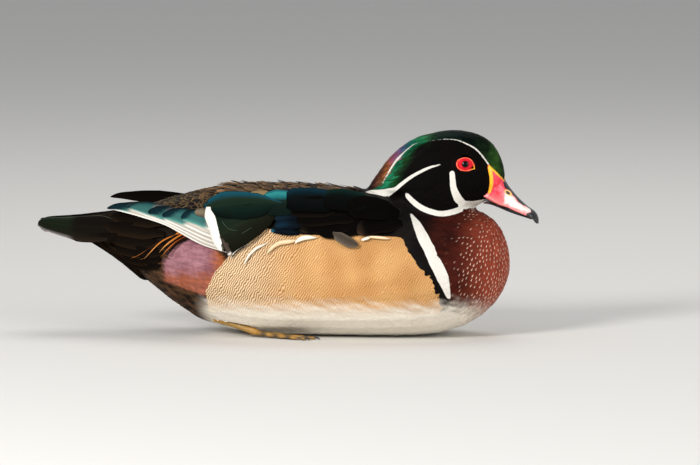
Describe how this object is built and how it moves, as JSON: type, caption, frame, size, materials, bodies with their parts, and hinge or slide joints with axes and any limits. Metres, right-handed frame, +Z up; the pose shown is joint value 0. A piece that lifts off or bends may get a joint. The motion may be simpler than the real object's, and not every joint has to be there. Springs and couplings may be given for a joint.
{
  "type": "wood duck drake model",
  "caption": "Life-size still model of a wood duck drake resting on its belly, crest swept back, wings folded, feet tucked under the body.",
  "frame": {"origin": "on the floor under the middle of the duck's length, in its middle plane", "axes": "+X towards the bill, +Y towards the duck's left side, +Z up"},
  "size_m": [0.345, 0.122, 0.1402],
  "materials": {
    "head_plumage": "glossy iridescent feathers",
    "body_plumage": "soft overlapping feathers",
    "wing_feather": "smooth iridescent feathers",
    "tail_feather": "satin feathers",
    "bill": "satin horn",
    "eye": "wet gloss",
    "leg": "scaly skin"
  },
  "bodies": {
    "root": {"head": "head_plumage", "crest": "head_plumage", "neck": "body_plumage", "trunk": "body_plumage", "wing_left": "wing_feather", "wing_right": "wing_feather", "flight_feathers_left": "wing_feather", "flight_feathers_right": "wing_feather", "tail": "tail_feather", "bill_upper": "bill", "bill_lower": "bill", "eye_left": "eye", "eye_right": "eye", "leg_left": "leg", "leg_right": "leg", "foot_left": "leg", "foot_right": "leg"}
  },
  "joints": []
}
